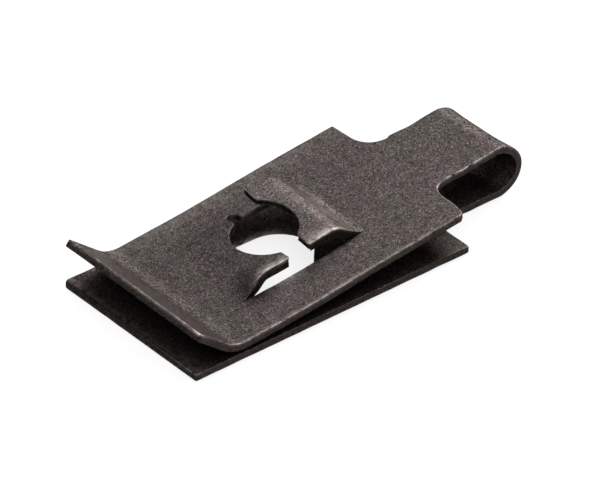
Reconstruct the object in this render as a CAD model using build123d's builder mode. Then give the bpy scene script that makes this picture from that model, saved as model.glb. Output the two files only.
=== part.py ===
from build123d import *
from math import asin, atan2, cos, degrees, radians, sin, tan
import os

# U-shaped speed nut, folded from one blanked strip of spring steel.
# X runs from the mouth towards the fold, Y across the strip, Z up.
# The origin is under the middle of the part, on the face the flat leaf rests on.
# All sizes are in millimetres and degrees.

# Strip and its fold
strip_width = 12.7
strip_thickness = 0.5
lower_leaf_length = 21.77
upper_leaf_setback = 0.6
loop_centre_from_mouth = 26.97
loop_outer_radius = 1.9
mouth_gap = 0.146

# Flared lip at the mouth of the upper leaf
lip_bend_from_mouth = 3.2
lip_length = 3.58
lip_angle = 38.5
lip_bend_radius = 2.3

# Neck that leads into the fold
neck_width = 5.98
neck_shift = 0.045
notch_width = 5.7
notch_depth = 2.0
shoulder_fillet = 1.45

# Corners of the blank and the small rounds left by the shear
lower_far_corner_radius = 0.35
lower_near_corner_radius = 0.2
edge_round = 0.12

# Screw axis, which is the centre of the rear prong's arc, and the openings round it
axis_from_mouth = 10.57
clearance_half_width = 3.27
clearance_reach = 4.2
clearance_corner_radius = 2.05
clearance_cut_along = 3.04
clearance_cut_across = 3.54
clearance_cut_radius = 1.2
prong_width = 6.4
shear_gap = 0.1
root_relief = 0.5
root_overlap = 0.3

# Prongs, measured along the upper leaf from the screw axis and up from its top face
front_root = 4.4
front_near_ramp = 1.55
front_far_ramp = 1.4
front_near_tip = 0.71
front_far_tip = 0.43
front_near_rise = 1.2
front_far_rise = 0.62
front_bite_radius = 2.48
front_bite_offset = 0.41
rear_root = 5.0
rear_near_ramp = 1.75
rear_far_ramp = 1.38
rear_near_tip = 0.97
rear_far_tip = 1.21
rear_near_rise = 1.33
rear_far_rise = 1.98
rear_crest_fall = 0.22
rear_bite_radius = 2.21
crest_inside_radius = 0.7
root_radius = 0.9
prong_edge_round = 0.18

# Relief and burr that the lancing die leaves in the far side rail
relief_radius = 0.47
relief_from_axis = 0.3
relief_outset = 0.17
burr_from_axis = 0.68
burr_base = 0.34
burr_height = 0.36
burr_sink = 0.05

# Places that follow from the sizes
overall_length = loop_centre_from_mouth + loop_outer_radius
mouth_x = -overall_length / 2
loop_x = mouth_x + loop_centre_from_mouth
lower_shoulder_x = mouth_x + lower_leaf_length
upper_shoulder_x = lower_shoulder_x - upper_leaf_setback
axis_x = mouth_x + axis_from_mouth
bend_x = mouth_x + lip_bend_from_mouth
bend_z = 2 * strip_thickness + mouth_gap
crest_radius = crest_inside_radius + strip_thickness
clear_cut = 4 * loop_outer_radius

# The upper leaf leaves the fold on the tangent that passes through the bend of the lip.
bend_to_centre = Vector(loop_x - bend_x, loop_outer_radius - bend_z)
closing_angle = degrees(
    atan2(bend_to_centre.Y, bend_to_centre.X) + asin(loop_outer_radius / bend_to_centre.length)
)
lip_tip = (
    bend_x - lip_length * cos(radians(lip_angle)),
    bend_z + lip_length * sin(radians(lip_angle)),
)

# The leaf plane lies on the upper leaf's top face, with its origin on the screw axis.
leaf_along = (cos(radians(closing_angle)), 0, sin(radians(closing_angle)))
leaf_normal = (-sin(radians(closing_angle)), 0, cos(radians(closing_angle)))
leaf_origin = (axis_x, 0, bend_z + (axis_x - bend_x) * tan(radians(closing_angle)))
leaf_plane = Plane(origin=leaf_origin, x_dir=leaf_along, z_dir=leaf_normal)


def rail_plane(y):
    """Upright plane along the upper leaf at distance y from the centre line."""
    return Plane(origin=(leaf_origin[0], y, leaf_origin[2]), x_dir=leaf_along, z_dir=(0, -1, 0))


def rising_section(plane, points, radii):
    """Strip of sheet whose top face follows the points, bent with the given radii."""
    with BuildSketch(plane) as section:
        with BuildLine():
            FilletPolyline(*points, radius=radii)
            offset(amount=strip_thickness, side=Side.RIGHT)
        make_face()
    return section.sketch


def upper_side_edges(prong, side):
    """Edges of the prong's top face along one side, near (-1) or far (1)."""
    ends = prong.faces().filter_by(Axis.Y).sort_by(Axis.Y)
    side_face = ends[-1] if side > 0 else ends[0]
    body = prong.solid()
    inward = Vector(0, -side, 0) * (strip_thickness / 10)
    lift = Vector(*leaf_normal) * (strip_thickness / 10)
    return side_face.edges().filter_by(
        lambda edge: body.is_inside(edge @ 0.5 + inward - lift)
        and not body.is_inside(edge @ 0.5 + inward + lift)
    )


def is_on_run(face, run):
    """Whether a face of the strip was swept from the run of lines in its side section."""
    middle = face.position_at(0.5, 0.5)
    return run.distance_to(Vertex(middle.X, middle.Z, 0)) < 0.01 * strip_thickness


# Front prong: rises from its root near the lip, lower at the far side than at the near side.
half_prong = prong_width / 2
front_near_crest = front_root - front_near_ramp
front_far_crest = front_root - front_far_ramp
front_lead = front_root + root_relief + root_overlap
front_near_section = rising_section(
    rail_plane(-half_prong),
    [
        (-front_lead, 0),
        (-front_root, 0),
        (-front_near_crest, front_near_rise),
        (-front_near_tip, front_near_rise),
    ],
    [root_radius, crest_radius],
)
front_far_section = rising_section(
    rail_plane(half_prong),
    [
        (-front_lead, 0),
        (-front_root, 0),
        (-front_far_crest, front_far_rise),
        (-front_far_tip, front_far_rise),
    ],
    [root_radius, crest_radius],
)
with BuildPart() as front_prong:
    loft(sections=[front_near_section, front_far_section], ruled=True)
    for side in (-1, 1):
        fillet(upper_side_edges(front_prong, side), radius=prong_edge_round)
    with BuildSketch(leaf_plane):
        with Locations((front_bite_offset, 0)):
            Circle(front_bite_radius)
    extrude(amount=clear_cut, both=True, mode=Mode.SUBTRACT)

# Rear prong: one thread pitch above the front prong at the far side, level with it at the near side.
rear_near_crest = rear_root - rear_near_ramp
rear_far_crest = rear_root - rear_far_ramp
rear_lead = rear_root + root_relief + root_overlap
rear_near_section = rising_section(
    rail_plane(-half_prong),
    [
        (rear_near_tip, rear_near_rise),
        (rear_near_crest, rear_near_rise),
        (rear_root, 0),
        (rear_lead, 0),
    ],
    [crest_radius, root_radius],
)
rear_far_section = rising_section(
    rail_plane(half_prong),
    [
        (rear_far_tip, rear_far_rise),
        (rear_far_crest, rear_far_rise - rear_crest_fall),
        (rear_root, 0),
        (rear_lead, 0),
    ],
    [crest_radius, root_radius],
)
with BuildPart() as rear_prong:
    loft(sections=[rear_near_section, rear_far_section], ruled=True)
    for side in (-1, 1):
        fillet(upper_side_edges(rear_prong, side), radius=prong_edge_round)
    with BuildSketch(leaf_plane):
        Circle(rear_bite_radius)
    extrude(amount=clear_cut, both=True, mode=Mode.SUBTRACT)

# The folded strip with its notched neck, clearance hole, window and prongs.
with BuildPart() as speed_nut:
    # Side section: flat lower leaf, fold, closing upper leaf and flared lip.
    with BuildSketch(Plane.XZ):
        with BuildLine():
            bottom_run = Line((mouth_x, 0), (loop_x, 0))
            fold_run = CenterArc((loop_x, loop_outer_radius), loop_outer_radius, -90, 180 + closing_angle)
            top_run = FilletPolyline(fold_run @ 1, (bend_x, bend_z), lip_tip, radius=lip_bend_radius)
            offset(amount=strip_thickness, side=Side.LEFT)
        make_face()
    extrude(amount=strip_width / 2, both=True)

    # Shoulders: the strip is notched on both sides down to the neck, with a round inside corner.
    # The notches bite a little deeper than the neck's own sides, so that it steps where they end.
    beyond_fold = -mouth_x + strip_width
    for shoulder_x, depth in (
        (upper_shoulder_x, clear_cut),
        (lower_shoulder_x, -clear_cut),
    ):
        for side in (1, -1):
            notch_y = side * notch_width / 2 + neck_shift
            neck_y = side * neck_width / 2 + neck_shift
            notch_end = shoulder_x + notch_depth
            with BuildSketch(Plane.XY.offset(loop_outer_radius)):
                with BuildLine():
                    Polyline(
                        (shoulder_x, side * strip_width),
                        (shoulder_x, notch_y),
                        (notch_end, notch_y),
                        (notch_end, neck_y),
                        (beyond_fold, neck_y),
                        (beyond_fold, side * strip_width),
                        close=True,
                    )
                notch = make_face()
                inside_corner = notch.vertices().sort_by_distance((shoulder_x, notch_y))[0]
                fillet(inside_corner, radius=shoulder_fillet)
            extrude(amount=depth, mode=Mode.SUBTRACT)

    # Corners of the lower leaf at the mouth.
    mouth_corners = speed_nut.edges().filter_by(Axis.Z).group_by(Axis.X)[0].sort_by(Axis.Y)
    fillet(mouth_corners[0], radius=lower_near_corner_radius)
    mouth_corners = speed_nut.edges().filter_by(Axis.Z).group_by(Axis.X)[0].sort_by(Axis.Y)
    fillet(mouth_corners[-1], radius=lower_far_corner_radius)

    # Roll-over of the blanking shear, all round the face that ends up outside.
    outside = Wire([*bottom_run.edges(), *fold_run.edges(), *top_run.edges()])
    skin_faces = speed_nut.faces().filter_by(lambda face: is_on_run(face, outside))
    skin_edges = [edge for face in skin_faces for edge in face.edges()]
    rim = [edge for edge in skin_edges if sum(edge.is_same(other) for other in skin_edges) == 1]
    fillet(rim, radius=edge_round)

    # Clearance hole of the lower leaf, long enough for the screw to find its prongs.
    # Its near rear corner is cut off at a slant.
    with BuildSketch(Plane.XY):
        with Locations((axis_x, 0)):
            RectangleRounded(2 * clearance_reach, 2 * clearance_half_width, clearance_corner_radius)
        hole_rear = axis_x + clearance_reach
        hole_near = -clearance_half_width
        cut_ends = [
            (hole_rear - clearance_cut_along, hole_near),
            (hole_rear, hole_near + clearance_cut_across),
        ]
        with BuildLine():
            Polyline(*cut_ends, (hole_rear, hole_near), close=True)
        hole = make_face(mode=Mode.SUBTRACT)
        for cut_end in cut_ends:
            fillet(hole.vertices().sort_by_distance(cut_end)[0], radius=clearance_cut_radius)
    extrude(amount=strip_thickness, mode=Mode.SUBTRACT)

    # Window of the upper leaf, wider than the prongs by the gap of the shear on each side.
    window_front = -front_root - root_relief
    window_rear = rear_root + root_relief
    window_half = half_prong + shear_gap
    with BuildSketch(leaf_plane):
        with Locations(((window_front + window_rear) / 2, 0)):
            Rectangle(window_rear - window_front, 2 * window_half)
        with Locations((relief_from_axis, window_half + relief_outset)):
            Circle(relief_radius)
        with BuildLine():
            Polyline(
                (burr_from_axis - burr_base / 2, window_half + burr_sink),
                (burr_from_axis + burr_base / 2, window_half + burr_sink),
                (burr_from_axis, window_half - burr_height),
                close=True,
            )
        make_face(mode=Mode.SUBTRACT)
    extrude(amount=strip_thickness + mouth_gap / 2, both=True, mode=Mode.SUBTRACT)

    add(front_prong.part)
    add(rear_prong.part)

speed_nut.part.label = "nut_body"
os.makedirs("parts", exist_ok=True)
export_step(speed_nut.part, "parts/nut_body.step")
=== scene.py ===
import logging
from dataclasses import dataclass, field
from enum import Enum

import bpy
import numpy as np
from mathutils import Matrix, Vector


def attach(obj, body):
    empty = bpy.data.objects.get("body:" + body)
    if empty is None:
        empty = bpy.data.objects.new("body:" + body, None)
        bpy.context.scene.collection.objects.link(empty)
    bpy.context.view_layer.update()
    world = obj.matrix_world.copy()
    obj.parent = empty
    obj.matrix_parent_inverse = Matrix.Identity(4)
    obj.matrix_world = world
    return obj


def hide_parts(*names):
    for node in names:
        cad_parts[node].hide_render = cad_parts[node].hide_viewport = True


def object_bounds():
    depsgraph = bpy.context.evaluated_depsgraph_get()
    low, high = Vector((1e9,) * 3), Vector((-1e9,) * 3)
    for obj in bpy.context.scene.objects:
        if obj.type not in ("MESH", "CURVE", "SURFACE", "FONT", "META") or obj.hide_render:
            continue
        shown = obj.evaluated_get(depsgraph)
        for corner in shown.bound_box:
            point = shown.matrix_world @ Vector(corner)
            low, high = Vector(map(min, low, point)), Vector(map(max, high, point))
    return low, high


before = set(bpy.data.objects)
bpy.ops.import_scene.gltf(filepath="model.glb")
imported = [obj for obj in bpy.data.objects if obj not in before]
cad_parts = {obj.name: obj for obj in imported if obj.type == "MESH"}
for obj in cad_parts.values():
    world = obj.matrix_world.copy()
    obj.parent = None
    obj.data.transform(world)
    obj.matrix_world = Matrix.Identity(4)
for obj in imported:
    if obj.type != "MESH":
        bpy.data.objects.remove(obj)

# Speed nut: one blanked, lanced and folded strip of phosphated spring steel.
# The strip is cut out of a grid in the flat, by a signed distance to its outline,
# and every point is then carried along the folded side profile or up a prong.
# Sizes are in millimetres until the mesh is written.

CAD_LOW, CAD_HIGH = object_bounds()
MM = 0.001
TINY = 1e-9
STEEL_NODE = "nut_body"

Array = np.ndarray
Range = tuple[float, float]
Tree = bpy.types.NodeTree
Socket = bpy.types.NodeSocket
log = logging.getLogger("speed_nut")


class Zone(Enum):
    """What a point of the blank belongs to, which says how it is carried into its place."""

    LEAVES = 0
    FRONT_PRONG = 1
    REAR_PRONG = 2


# Distances in the flat


def box_distance(x: Array, y: Array, low: tuple, high: tuple, radius: Array | float) -> Array:
    """Signed distance to a rectangle with rounded corners.

    The point is folded into one quarter and measured from the corner's centre. Outside, the
    distance is the length to that centre less the radius. Inside, it is the nearer side's.

    Args:
        x: First coordinate of each point.
        y: Second coordinate of each point.
        low: Lowest corner of the rectangle.
        high: Highest corner of the rectangle.
        radius: Corner radius, one for all points or one each.

    Returns:
        Distance of each point, negative inside.
    """
    across = np.abs(x - (low[0] + high[0]) / 2) - (high[0] - low[0]) / 2 + radius
    along = np.abs(y - (low[1] + high[1]) / 2) - (high[1] - low[1]) / 2 + radius
    outside = np.hypot(np.maximum(across, 0), np.maximum(along, 0))
    return outside + np.minimum(np.maximum(across, along), 0) - radius


def join_with_fillet(a: Array, b: Array, radius: float) -> Array:
    """Union of two regions, with a fillet where their sides meet at an inside corner.

    Within the radius of both sides, the distance is the radius less the length to the fillet's
    centre.

    Args:
        a: Distance to the first region.
        b: Distance to the second region.
        radius: Fillet radius.

    Returns:
        Distance to the union.
    """
    reach = np.hypot(np.maximum(radius - a, 0), np.maximum(radius - b, 0))
    return np.maximum(radius, np.minimum(a, b)) - reach


def keep_with_round(a: Array, b: Array, radius: float) -> Array:
    """Overlap of two regions, with a round where their sides meet at an outside corner.

    Within the radius of both sides, the distance is the length to the round's centre less the
    radius.

    Args:
        a: Distance to the first region.
        b: Distance to the second region.
        radius: Radius of the round.

    Returns:
        Distance to the overlap.
    """
    reach = np.hypot(np.maximum(radius + a, 0), np.maximum(radius + b, 0))
    return np.minimum(-radius, np.maximum(a, b)) + reach


def ease(value: Array, start: float, end: float) -> Array:
    """Smooth step from nought at the start to one at the end: 3t squared less 2t cubed.

    The start may lie above the end. The step then goes from one down to nought as the value grows.

    Args:
        value: Values to be read.
        start: Value at which the step is still nought.
        end: Value at which it has reached one.

    Returns:
        Share of each value, from nought to one.
    """
    t = np.clip((value - start) / (end - start), 0, 1)
    return t * t * (3 - 2 * t)


@dataclass(frozen=True)
class Ripple:
    """Smooth unevenness: a sum of plane sine waves in seeded directions and phases.

    Attributes:
        height: Size of the unevenness.
        wavelength: Middle wavelength.
        seed: Seed of the directions, phases and lengths.
        waves: How many waves are added.
        spread: Shortest and longest wave, as shares of the middle one.
    """

    height: float
    wavelength: float
    seed: int
    waves: int = 16
    spread: Range = (0.7, 1.6)

    def at(self, x: Array, y: Array) -> Array:
        """Unevenness at each point of the plane.

        It is the height times the sum of the waves' sines, times the root of two over their
        number.

        Args:
            x: First coordinate of each point.
            y: Second coordinate of each point.

        Returns:
            Value at each point, around nought.
        """
        draw = np.random.default_rng(self.seed)
        heading = draw.uniform(0, 2 * np.pi, self.waves)
        phase = draw.uniform(0, 2 * np.pi, self.waves)
        rate = 2 * np.pi / (self.wavelength * draw.uniform(*self.spread, self.waves))
        along_x, along_y = rate * np.cos(heading), rate * np.sin(heading)
        angle = x[:, None] * along_x + y[:, None] * along_y + phase
        return self.height * (np.sin(angle).sum(axis=1) * np.sqrt(2 / self.waves))


# The side profile and the prongs


@dataclass(frozen=True)
class ProfilePath:
    """A plane path of straight runs and arcs, read by the length walked along it.

    Attributes:
        starts: Start point of each run, one row each.
        headings: Direction of each run at its start, in radians.
        curvatures: Turn for each unit of length, positive to the left and nought where straight.
        knots: Length walked at the start of each run and at the path's end.
    """

    starts: Array
    headings: Array
    curvatures: Array
    knots: Array

    @classmethod
    def from_runs(
        cls, start: tuple, heading: float, lengths: Array, curvatures: Array
    ) -> "ProfilePath":
        """Path from the length and curvature of each run.

        Each run ends a chord away from its start. The chord is as long as the run, times the sine
        of half the turn over half the turn, and it points along the heading plus half the turn.

        Args:
            start: First point.
            heading: Direction at the first point, in radians.
            lengths: Length of each run.
            curvatures: Curvature of each run.

        Returns:
            The path.
        """
        turns = lengths * curvatures
        headings = heading + np.cumsum(turns) - turns
        chords = lengths * np.sinc(turns / 2 / np.pi)
        middle = headings + turns / 2
        steps = np.column_stack((chords * np.cos(middle), chords * np.sin(middle)))
        starts = np.asarray(start) + np.cumsum(steps, axis=0) - steps
        return cls(starts, headings, curvatures, np.concatenate(([0], np.cumsum(lengths))))

    @classmethod
    def through(cls, corners: list[tuple], radii: list[float]) -> "ProfilePath":
        """Path through corners, each rounded by an arc.

        The arc at a corner takes its radius times the tangent of half the turn from both sides.

        Args:
            corners: Ends and corners of the path.
            radii: Radius at each inner corner.

        Returns:
            The path.
        """
        sides = np.diff(np.asarray(corners, float), axis=0)
        headings = np.unwrap(np.arctan2(sides[:, 1], sides[:, 0]))
        turns = np.diff(headings)
        taken = np.asarray(radii) * np.tan(np.abs(turns) / 2)
        lengths = np.empty(2 * len(sides) - 1)
        lengths[0::2] = np.hypot(*sides.T) - np.append(taken, 0) - np.append(0, taken)
        lengths[1::2] = np.abs(turns) * radii
        curvatures = np.zeros_like(lengths)
        curvatures[1::2] = np.sign(turns) / radii
        return cls.from_runs(corners[0], headings[0], lengths, curvatures)

    def point(self, walked: Array) -> tuple[Array, Array]:
        """Point of the path at each length walked, straight on past its ends.

        It lies a chord away from the start of its run, as in from_runs.

        Args:
            walked: Lengths walked from the path's start.

        Returns:
            Both coordinates of each point.
        """
        run = np.searchsorted(self.knots[1:-1], walked, side="right")
        length = walked - self.knots[run]
        turn = length * self.curvatures[run]
        chord = length * np.sinc(turn / 2 / np.pi)
        middle = self.headings[run] + turn / 2
        start = self.starts[run]
        return start[..., 0] + chord * np.cos(middle), start[..., 1] + chord * np.sin(middle)


@dataclass(frozen=True)
class ProngEdge:
    """Rise of a prong along one of its side edges.

    Attributes:
        ramp: Length of the ramp along the leaf.
        tip: Distance of the tip from the screw axis.
        crest_rise: Height over the leaf's face at the crest.
        tip_rise: Height over the leaf's face at the tip.
        lag: How far the ramp starts past the prong's bend line.
        crest_radius: Bend radius at the crest, on the outer face.
    """

    ramp: float
    tip: float
    crest_rise: float
    tip_rise: float
    lag: float = 0.0
    crest_radius: float = 1.2


@dataclass(frozen=True)
class Prong:
    """One lanced prong: a ruled sheet between its near and its far side edge.

    Attributes:
        zone: Which of the two prongs it is.
        sign: One if the prong points towards the fold, minus one if it points to the lip.
        root: Distance of its bend line from the screw axis.
        near: Rise along the near side edge.
        far: Rise along the far side edge.
        bite_radius: Radius of the concave arc that holds the screw.
        bite_centre: Centre of the arc along the leaf, from the screw axis towards the fold.
        far_spread: How far the tip leans out over the far rail.
        half_width: Half the prong's width.
        lead: How far the flat tongue reaches into the leaf behind the bend line.
        root_radius: Bend radius at the root, on the outer face.
        tip_round: Rounding of the tips' corners in the flat.
        spread_from: Share across the width at which the tip starts to lean out.
    """

    zone: Zone
    sign: int
    root: float
    near: ProngEdge
    far: ProngEdge
    bite_radius: float
    bite_centre: float
    far_spread: float = 0.0
    half_width: float = 3.2
    lead: float = 2.0
    root_radius: float = 0.9
    tip_round: float = 0.06
    spread_from: float = 0.4

    def edge_path(self, edge: ProngEdge) -> ProfilePath:
        """Path of one side edge: flat lead, root bend, ramp, crest bend and the run to the tip."""
        corners = [
            (-self.root - self.lead, 0),
            (edge.lag - self.root, 0),
            (edge.lag + edge.ramp - self.root, edge.crest_rise),
            (-edge.tip, edge.tip_rise),
        ]
        return ProfilePath.through(corners, [self.root_radius, edge.crest_radius])

    def far_share(self, y: Array) -> Array:
        """Share of the far edge at each point: nought at the near side, one at the far side."""
        return (y / self.half_width + 1) / 2

    def walked(self, along: Array) -> Array:
        """Length walked from the back end of the flat lead to each point."""
        return self.sign * along + self.root + self.lead

    def surface(self, along: Array, y: Array) -> tuple[Array, Array, Array]:
        """Place of points of the flat tongue on the raised prong.

        Both edge paths have the same runs. At a share across the width, the knots are the two
        paths' knots mixed by that share, and the point is the mix of the two points that lie
        equally far into the same run. The spread grows from root to tip and from near to far.

        Args:
            along: Distance along the blank, from the screw axis towards the fold.
            y: Distance across the strip.

        Returns:
            Distance along the leaf, distance across it and rise over its face.
        """
        near, far = self.edge_path(self.near), self.edge_path(self.far)
        share, walked = self.far_share(y), self.walked(along)
        knots = near.knots + share[:, None] * (far.knots - near.knots)
        run = (walked[:, None] >= knots[:, 1:-1]).sum(axis=1)
        rows = np.arange(len(run))
        into = (walked - knots[rows, run]) / (knots[rows, run + 1] - knots[rows, run])
        near_at = near.point(near.knots[run] + into * np.diff(near.knots)[run])
        far_at = far.point(far.knots[run] + into * np.diff(far.knots)[run])
        place, rise = (a + share * (b - a) for a, b in zip(near_at, far_at))
        towards_tip = ease(place, -self.root, -self.far.tip)
        spread = self.far_spread * towards_tip * ease(share, self.spread_from, 1.0)
        return self.sign * place, y + spread, rise

    def distance(self, along: Array, y: Array) -> Array:
        """Signed distance to the prong's outline: its sides, the line of its tips and the arc.

        Args:
            along: Distance along the blank, from the screw axis towards the fold.
            y: Distance across the strip.

        Returns:
            Distance of each point, negative in the steel.
        """
        place, _, _ = self.surface(along, y)
        sides = np.abs(y) - self.half_width
        slant = self.far_share(y) * (self.far.tip - self.near.tip)
        tips = self.sign * place + self.near.tip + slant
        bite = self.bite_radius - np.hypot(place - self.bite_centre, y)
        outline = keep_with_round(sides, tips, self.tip_round)
        outline = keep_with_round(outline, bite, self.tip_round)
        return np.maximum(outline, -self.walked(along))


@dataclass(frozen=True)
class ClearanceHole:
    """Opening of the lower leaf, round the screw axis, with its near rear corner cut off.

    Attributes:
        half_length: Reach from the axis along the strip.
        half_width: Reach from the axis across the strip.
        corner: Radius of its near corners.
        far_corner: Radius of its far corners.
        far_inset: How much less it reaches to the far side.
        cut_along: Length that the cut takes off the near side.
        cut_across: Length that the cut takes off the rear side.
        cut_round: Rounding at both ends of the cut.
    """

    half_length: float = 4.2
    half_width: float = 3.27
    corner: float = 2.05
    far_corner: float = 2.5
    far_inset: float = 0.16
    cut_along: float = 3.04
    cut_across: float = 3.54
    cut_round: float = 0.3

    def distance(self, along: Array, y: Array) -> Array:
        """Signed distance to the opening: a rounded rectangle kept on one side of the cut.

        Args:
            along: Distance along the blank, from the screw axis towards the fold.
            y: Distance across the strip.

        Returns:
            Distance of each point, negative in the opening.
        """
        low = (-self.half_length, -self.half_width)
        high = (self.half_length, self.half_width - self.far_inset)
        corner = np.where(y > 0, self.far_corner, self.corner)
        whole = box_distance(along, y, low, high, corner)
        past_end = (along - self.half_length + self.cut_along) * self.cut_across
        past_side = (y + self.half_width) * self.cut_along
        cut = (past_end - past_side) / np.hypot(self.cut_along, self.cut_across)
        return keep_with_round(whole, cut, self.cut_round)


@dataclass(frozen=True)
class LancedWindow:
    """Opening that the two prongs were lanced from, with the die's relief and its burr.

    Distances are from the screw axis towards the fold, or across the strip.

    Attributes:
        front: Reach towards the lip.
        rear: Reach towards the fold.
        half_width: Half the width of the prongs that fill it.
        slot_gap: Gap beside a prong at its root.
        open_gap: Gap beside a prong at its tip.
        widening: Distances from the window's ends over which the gap opens.
        near_wear: How much farther the near rail is cut back beside the screw.
        wear_reach: Distances from the window's ends over which that sets in.
        relief_along: Place of the round relief in the far rail.
        relief_across: Distance of the relief's centre from the middle.
        relief_radius: Radius of the relief.
        burr_along: Place of the burr tooth beside the relief.
        burr_base: Length of the tooth along the rail.
        burr_height: How far the tooth stands out from the rail.
        burr_sink: How far the tooth is let into the rail.
    """

    front: float = 4.72
    rear: float = 5.34
    half_width: float = 3.2
    slot_gap: float = 0.02
    open_gap: float = 0.1
    widening: Range = (0.5, 1.6)
    near_wear: float = 0.07
    wear_reach: Range = (1.4, 3.0)
    relief_along: float = 0.3
    relief_across: float = 3.47
    relief_radius: float = 0.47
    burr_along: float = 0.68
    burr_base: float = 0.34
    burr_height: float = 0.42
    burr_sink: float = 0.05

    def distance(self, along: Array, y: Array) -> Array:
        """Signed distance to the opening and its relief, less the burr.

        Args:
            along: Distance along the blank, from the screw axis towards the fold.
            y: Distance across the strip.

        Returns:
            Distance of each point, negative in the opening.
        """
        inside = np.minimum(along + self.front, self.rear - along)
        gap = self.slot_gap + (self.open_gap - self.slot_gap) * ease(inside, *self.widening)
        gap = gap + self.near_wear * ease(inside, *self.wear_reach) * (y < 0)
        opening = np.maximum(np.abs(y) - self.half_width - gap, -inside)
        relief = np.hypot(along - self.relief_along, y - self.relief_across) - self.relief_radius
        base_y = self.half_width + self.open_gap
        slope = 2 * self.burr_height / self.burr_base
        tooth_top = base_y - self.burr_height + slope * np.abs(along - self.burr_along)
        burr = (tooth_top - y) / np.hypot(1, slope)
        burr = np.maximum(burr, y - base_y - self.burr_sink)
        return np.maximum(np.minimum(opening, relief), -burr)


@dataclass(frozen=True)
class Neck:
    """Narrow part of the strip that runs round the fold, with uneven notched sides.

    Attributes:
        near_side: Pairs of distance from the shoulder and reach to the near side.
        far_side: Pairs of distance from the shoulder and reach to the far side.
        near_fillet: Inside radius at the near shoulders.
        far_fillet: Inside radius at the far shoulders.
        overlap: How far the neck is let into both leaves.
    """

    near_side: tuple = ((0.0, 2.82), (1.9, 2.88), (3.0, 2.97), (3.8, 2.93))
    far_side: tuple = ((0.0, 2.94), (1.85, 2.94), (1.95, 3.07), (3.4, 2.88), (5.0, 2.96))
    near_fillet: float = 1.6
    far_fillet: float = 1.7
    overlap: float = 3.0

    def distance(self, from_shoulder: Array, y: Array) -> Array:
        """Signed distance to the neck's sides and to its ends in the leaves.

        Args:
            from_shoulder: Length along the blank from the nearer shoulders towards the crown.
            y: Distance across the strip.

        Returns:
            Distance of each point, negative in the steel.
        """
        near = np.interp(from_shoulder, *zip(*self.near_side))
        far = np.interp(from_shoulder, *zip(*self.far_side))
        return np.maximum(np.maximum(y - far, -near - y), -from_shoulder - self.overlap)

    def fillet(self, y: Array) -> Array:
        """Inside radius at the shoulders on the side of each point."""
        return np.where(y > 0, self.far_fillet, self.near_fillet)


@dataclass(frozen=True)
class FoldFlare:
    """Outward flare of both ends of the fold, as a bent strip's edges take it.

    Attributes:
        near: Flare at the near end.
        far: Flare at the far end.
        near_rise: Distances from the middle over which the near flare grows.
        far_rise: Distances from the middle over which the far flare grows.
        middle: How much the fold's middle lies further in.
        peak: Place of the strongest flare round the fold, up from the bottom, in radians.
        spread: Half width of the flare round the fold, in radians.
    """

    near: float = 0.32
    far: float = 0.13
    near_rise: Range = (1.0, 3.0)
    far_rise: Range = (1.6, 3.0)
    middle: float = 0.03
    peak: float = np.radians(80)
    spread: float = np.radians(52)

    def outward(self, turned: Array, y: Array) -> Array:
        """Distance outwards: a bell round the fold times a rise towards both ends.

        Args:
            turned: Angle round the fold, up from the bottom.
            y: Distance across the strip.

        Returns:
            Distance of each point.
        """
        near, far = self.near * ease(-y, *self.near_rise), self.far * ease(y, *self.far_rise)
        across = near + far - self.middle
        return across * np.exp(-(((turned - self.peak) / self.spread) ** 2))


@dataclass(frozen=True)
class Sag:
    """Sag of the upper leaf: a bell along the leaf, deepest at its long edges.

    Attributes:
        depth: Depth at the long edges.
        from_mouth: Distance of the deepest place from the mouth.
        reach: Length over which the sag fades along the leaf.
        middle_share: Share of the depth that the leaf's middle has.
        edge_rise: Distances from the middle over which the depth grows to the full one.
    """

    depth: float = 0.1
    from_mouth: float = 9.12
    reach: float = 3.6
    middle_share: float = 0.25
    edge_rise: Range = (3.3, 5.5)

    def at(self, from_mouth: Array, y: Array) -> Array:
        """Depth of the sag: the bell times the share that grows from the middle outwards.

        Args:
            from_mouth: Distance from the mouth along the nut.
            y: Distance across the strip.

        Returns:
            Depth at each point.
        """
        bell = np.exp(-(((from_mouth - self.from_mouth) / self.reach) ** 2))
        share = self.middle_share + (1 - self.middle_share) * ease(np.abs(y), *self.edge_rise)
        return self.depth * (bell * share)


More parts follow.
